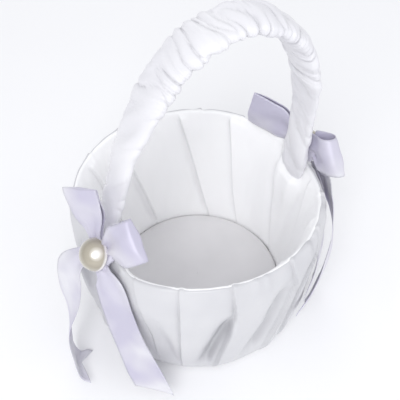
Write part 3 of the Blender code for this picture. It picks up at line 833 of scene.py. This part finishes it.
# Loops: where the tip lies from the knot, the ribbon's direction across, how far the two layers stand apart
# and how soon the ribbon spreads. Tails: centre line, directions across, and the cut at the end.
LEFT_BOW = {
    "side": "left", "facing": 190.0, "raised": 36.0, "knot": (-0.895, -0.240, -0.055), "pearl": 0.0101,
    "back_loop": {"reach": (-0.015, 0.25, 0.435), "width": (0.56, -0.70, 0.30), "belly": 0.16, "opens": 0.66},
    "front_loop": {"reach": (0.20, -0.30, 0.35), "width": (0.06, -0.80, -0.64), "belly": 0.85, "opens": 0.60},
    "back_tail": {
        "path": [(-0.955, -0.190, -0.11), (-1.025, -0.140, -0.16), (-1.125, -0.125, -0.28),
                 (-1.190, -0.140, -0.60), (-1.245, -0.195, -0.90), (-1.270, -0.285, -1.08),
                 (-1.250, -0.380, -1.175), (-1.180, -0.440, -1.205)],
        "width": [(0.25, -0.95, 0.0), (0.28, -0.93, 0.05), (0.30, -0.92, 0.10), (0.20, -0.93, 0.30),
                  (-0.05, -0.80, 0.60), (-0.20, -0.80, 0.50), (-0.15, -0.90, 0.20), (0.0, -0.90, 0.0)],
        "body": "left_back_tail_body", "notch": 0.0075, "slant": 0.0035, "opens": 0.22},
    "front_tail": {
        "path": [(-0.935, -0.330, -0.10), (-0.928, -0.395, -0.13), (-0.918, -0.470, -0.22),
                 (-0.915, -0.545, -0.42), (-0.870, -0.655, -0.78), (-0.804, -0.900, -1.12)],
        "width": [(0.45, -0.88, 0.0), (0.50, -0.86, 0.05), (0.55, -0.80, 0.20), (0.62, -0.72, 0.31),
                  (0.68, -0.65, 0.33), (0.70, -0.63, 0.33)],
        "body": "left_front_tail_body", "notch": 0.0, "slant": 0.0052, "opens": 0.15},
}
EDGE_ON = (-0.46, -0.51, 0.72)
RIGHT_BOW = {
    "side": "right", "facing": 0.0, "raised": 0.0, "knot": (1.002, 0.010, 0.050), "pearl": 0.0100,
    "back_loop": {"reach": (-0.09, 0.50, 0.13), "width": (-0.08, 0.10, -0.99), "bend": (-0.15, 0.0, 0.0),
                  "belly": 0.26, "opens": 0.50},
    "front_loop": {"reach": (0.06, -0.36, 0.13), "width": (0.0, -0.62, -0.78), "belly": 1.1, "opens": 0.28},
    "back_tail": {
        "path": [(1.046, 0.055, -0.090), (1.060, 0.030, -0.14), (1.068, -0.020, -0.20), (1.066, -0.260, -0.36),
                 (1.015, -0.415, -0.60), (0.940, -0.520, -0.90), (0.825, -0.605, -1.12)],
        "width": [(0.0, -0.98, 0.0), (-0.10, -0.90, 0.20), (-0.30, -0.70, 0.50)] + [EDGE_ON] * 4,
        "body": "right_tails", "notch": 0.0, "slant": 0.0055, "opens": 0.30},
    "front_tail": {
        "path": [(1.065, -0.070, -0.085), (1.075, -0.130, -0.14), (1.095, -0.190, -0.20), (1.055, -0.415, -0.32),
                 (0.950, -0.615, -0.46), (0.820, -0.740, -0.60), (0.665, -0.835, -0.75), (0.530, -0.890, -0.85)],
        "width": [(0.0, -0.98, 0.0), (-0.10, -0.90, 0.20), (-0.35, -0.70, 0.50)] + [EDGE_ON] * 5,
        "body": "right_tails", "notch": 0.0, "slant": 0.0055, "opens": 0.30},
}


def ribbon(name, rows, length):
    """A ribbon with a slightly raised woven edge, from rows of points across it."""
    obj = grid_object(name, rows, ribbon_look, length=length, thickness=RIBBON_THICKNESS)
    return obj


def build_loop(bow, which):
    """A loop: the ribbon leaves the knot, turns at the loop's tip and comes back."""
    spec = bow[which]
    start = at(*bow["knot"])
    reach = Vector(spec["reach"]) * RIM_RADIUS
    out = reach.normalized()
    width = Vector(spec["width"]).normalized()
    across = out.cross(width).normalized()
    bend = Vector(spec.get("bend", (0.0, 0.0, 0.0))) * RIM_RADIUS
    span = reach.length - LOOP_START
    seed = {"back_loop": 1.0, "front_loop": 4.0}[which] + {"left": 0.0, "right": 9.0}[bow["side"]]
    rows = []
    for i in range(LOOP_STEPS + 1):
        turn = math.radians(LOOP_FIRST_TURN) + math.radians(LOOP_WHOLE_TURN) * i / LOOP_STEPS
        share = (1.0 - math.cos(turn)) / 2
        belly = LOOP_BELLY * spec["belly"] * math.sin(turn) * (0.30 + 0.70 * share)
        centre = start + out * (LOOP_START + span * share) + across * belly + bend * share * share
        spread = GATHER + (1.0 - GATHER) * smooth(0.0, spec["opens"], share)
        side = 1.0 if turn < math.pi else -1.0
        row = []
        for k in range(RIBBON_ACROSS):
            u = 2.0 * k / (RIBBON_ACROSS - 1) - 1.0
            pinch = 1.0 - smooth(0.05, 0.90, share)
            crease = LOOP_CREASE * pinch * math.sin(u * 5.2 + seed + 0.8 * side)
            wave = RIBBON_WAVE * noise.noise(Vector((u * 1.3 + seed, share * 3.0, side)))
            cup = LOOP_CUP * (1.0 - u * u) * side * smooth(0.2, 0.8, share)
            row.append(centre + width * (u * RIBBON_WIDTH / 2 * spread) + across * (crease + wave + cup))
        rows.append(row)
    obj = ribbon(f"{bow['side']}_{which}_ribbon", rows, 2.0 * span)
    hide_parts(f"{bow['side']}_{which}")
    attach(obj, "basket")


def build_tail(bow, which):
    """A tail: the ribbon from under the knot along its path to the slanted or notched cut."""
    spec = bow[which]
    line, length = evenly(catmull([at(*p) for p in spec["path"]], 400), TAIL_STEPS + 1)
    widths = catmull([Vector(w).normalized() for w in spec["width"]], TAIL_STEPS + 1)
    seed = 3.0 if bow["side"] == "left" else 12.0
    rows = []
    for i, (centre, along) in enumerate(zip(line, tangents(line))):
        share = i / TAIL_STEPS
        side = (widths[i] - widths[i].dot(along) * along).normalized()
        normal = along.cross(side)
        spread = GATHER + (1.0 - GATHER) * smooth(0.0, spec["opens"], share)
        pinch = 1.0 - smooth(0.0, 0.34, share)
        row = []
        for k in range(RIBBON_ACROSS):
            u = 2.0 * k / (RIBBON_ACROSS - 1) - 1.0
            crease = TAIL_CREASE * pinch * math.sin(u * 5.0 + seed)
            curl = TAIL_CURL * (u * u - 0.4) * smooth(0.2, 0.7, share)
            wave = RIBBON_WAVE * noise.noise(Vector((u * 0.9 + seed, share * 4.0, 2.0)))
            end = smooth(TAIL_CUT_FROM, 1.0, share)
            cut = (spec["slant"] * u - spec["notch"] * (1.0 - abs(u))) * end
            aside = u * RIBBON_WIDTH / 2 * spread
            row.append(centre + side * aside + normal * (crease + curl + wave) + along * cut)
        rows.append(row)
    obj = ribbon(f"{bow['side']}_{which}_ribbon", rows, length)
    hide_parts(f"{bow['side']}_{which}")
    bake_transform(obj)


KNOT_RINGS = 40
KNOT_COLUMNS = 120
KNOT_HALF_DEPTH = 0.0030
KNOT_HALF_WIDTH = 0.0112
KNOT_HALF_HEIGHT = 0.0108
PEARL_HEIGHT = 0.0100
PEARL_RINGS = 32
PEARL_COLUMNS = 96
PEARL_LIP = 0.0002
PEARL_OUT = 0.0030
PEARL_ASIDE = 0.0008
PEARL_DOWN = 0.0012


def bow_axes(bow):
    """The directions out of the bow's face, sideways along it and up along it."""
    facing = math.radians(bow["facing"])
    raised = math.radians(bow["raised"])
    level = math.cos(raised)
    outward = Vector((math.cos(facing) * level, math.sin(facing) * level, math.sin(raised)))
    sideways = Vector((-math.sin(facing), math.cos(facing), 0.0))
    return outward, sideways, outward.cross(sideways)


def build_knot(bow):
    """The crumpled ribbon wound round the bow's middle: a lumpy cushion with creases running in to its centre."""
    outward, sideways, up = bow_axes(bow)
    low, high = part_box(bow["side"] + "_knot")
    centre = (low + high) / 2
    seed = 5.0 if bow["side"] == "left" else 15.0
    rows = []
    for r in range(KNOT_RINGS + 1):
        polar = math.pi * (0.004 + 0.992 * r / KNOT_RINGS)
        row = []
        for i in range(KNOT_COLUMNS):
            turn = 2.0 * math.pi * i / KNOT_COLUMNS
            c, s = math.cos(turn), math.sin(turn)
            ring = math.sin(polar) ** 0.8
            wobble = 1.0 + 0.10 * noise.noise(Vector((c * 1.6 + seed, s * 1.6, 0.0)))
            frill = 0.07 * ring * abs(math.sin(turn * 4.5 + 1.3 * noise.noise(Vector((c, s, seed)))))
            crumple = 0.08 * noise.noise(Vector((c * 3.1, s * 3.1 + seed, polar * 2.0)))
            grow = ring * (wobble + frill + crumple)
            swell = 0.0008 * noise.noise(Vector((c * 2.0, s * 2.0, seed + polar)))
            depth = math.cos(polar) * (KNOT_HALF_DEPTH + swell)
            row.append(centre + outward * depth + sideways * (c * grow * KNOT_HALF_WIDTH)
                       + up * (s * grow * KNOT_HALF_HEIGHT))
        rows.append(row)
    obj = grid_object(bow["side"] + "_knot_ribbon", rows, ribbon_look, around=True, length=0.02)
    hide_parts(bow["side"] + "_knot")
    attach(obj, "basket")


def build_pearl(bow):
    """The half pearl: a dome with its flat back closed."""
    outward, sideways, up = bow_axes(bow)
    low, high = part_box(bow["side"] + "_knot")
    radius = bow["pearl"]
    seat = (low + high) / 2 + outward * PEARL_OUT + sideways * PEARL_ASIDE - up * PEARL_DOWN
    rows = []
    for r in range(PEARL_RINGS + 1):
        polar = math.pi / 2 * max(r / PEARL_RINGS, 0.002)
        row = []
        for i in range(PEARL_COLUMNS):
            turn = 2.0 * math.pi * i / PEARL_COLUMNS
            row.append(seat + outward * (PEARL_HEIGHT * math.cos(polar))
                       + sideways * (radius * math.sin(polar) * math.cos(turn))
                       + up * (radius * math.sin(polar) * math.sin(turn)))
        rows.append(row)
    rows.append([seat.lerp(point, 0.96) - outward * PEARL_LIP for point in rows[-1]])
    rows.append([seat.lerp(point, 0.01) - outward * PEARL_LIP for point in rows[-1]])
    obj = grid_object(bow["side"] + "_pearl_dome", rows, pearl_look, around=True)
    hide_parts(bow["side"] + "_pearl")
    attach(obj, "basket")


build_cover()
build_lining()
build_floor_pad()
build_underside()
build_handle()
for bow in (LEFT_BOW, RIGHT_BOW):
    build_knot(bow)
    build_pearl(bow)
    for which in ("back_loop", "front_loop"):
        build_loop(bow, which)
    for which in ("back_tail", "front_tail"):
        build_tail(bow, which)


# ---------------------------------------------------------------- stage, camera and light

def build_stage():
    """The pale studio floor."""
    bpy.ops.mesh.primitive_plane_add(size=8.0, location=(0.0, 0.0, -0.0002))
    ground = bpy.context.active_object
    ground.name = "studio_floor"
    material, tree, shader = new_material("studio_floor_look", (0.93, 0.93, 0.94), 0.75)
    coords = add(tree, "ShaderNodeTexCoord").outputs["Object"]
    tone = noise_of(tree, coords, 3.0)
    tree.links.new(ramp(tree, tone, [(0.3, (0.92, 0.92, 0.93)), (0.7, (0.94, 0.94, 0.95))]),
                   shader.inputs["Base Color"])
    ground.data.materials.append(material)


def area_light(name, place, target, size, power, colour=(1.0, 1.0, 1.0)):
    """A round soft light at a place, turned to a target."""
    light = bpy.data.lights.new(name, "AREA")
    light.shape = "DISK"
    light.size = size
    light.energy = power
    light.color = colour
    obj = bpy.data.objects.new(name, light)
    bpy.context.scene.collection.objects.link(obj)
    obj.location = place
    obj.rotation_euler = (Vector(target) - Vector(place)).to_track_quat("-Z", "Y").to_euler()


CAMERA_LENS = 55.57
CAMERA_PLACE = (-1.4498, -3.079, 3.5039)
CAMERA_LOOKS = (0.2949, 0.6147, -0.7316)


def build_camera():
    """A camera above the rim, to the left front, looking down into the basket."""
    data = bpy.data.cameras.new("camera")
    data.lens = CAMERA_LENS
    data.sensor_width = 36.0
    data.clip_start = 0.01
    camera = bpy.data.objects.new("camera", data)
    bpy.context.scene.collection.objects.link(camera)
    camera.location = at(*CAMERA_PLACE)
    camera.rotation_mode = "QUATERNION"
    camera.rotation_quaternion = Vector(CAMERA_LOOKS).to_track_quat("-Z", "Y")
    bpy.context.scene.camera = camera


WORLD_COLOUR = (0.96, 0.97, 1.0, 1.0)
WORLD_STRENGTH = 0.79


def build_world():
    """An even, slightly cool studio sky."""
    world = bpy.data.worlds.new("studio")
    world.use_nodes = True
    background = world.node_tree.nodes["Background"]
    background.inputs["Color"].default_value = WORLD_COLOUR
    background.inputs["Strength"].default_value = WORLD_STRENGTH
    bpy.context.scene.world = world


build_stage()
build_camera()
build_world()
middle = (0.0, 0.0, 0.08)
area_light("key_light", (-0.55, -0.80, 1.0), middle, 0.80, 8.0)
area_light("fill_light", (0.9, -0.5, 0.5), middle, 0.8, 0.9, (0.95, 0.96, 1.0))
area_light("rim_light", (0.3, 1.1, 0.8), middle, 0.8, 1.2)
bpy.context.scene.view_settings.view_transform = "Standard"
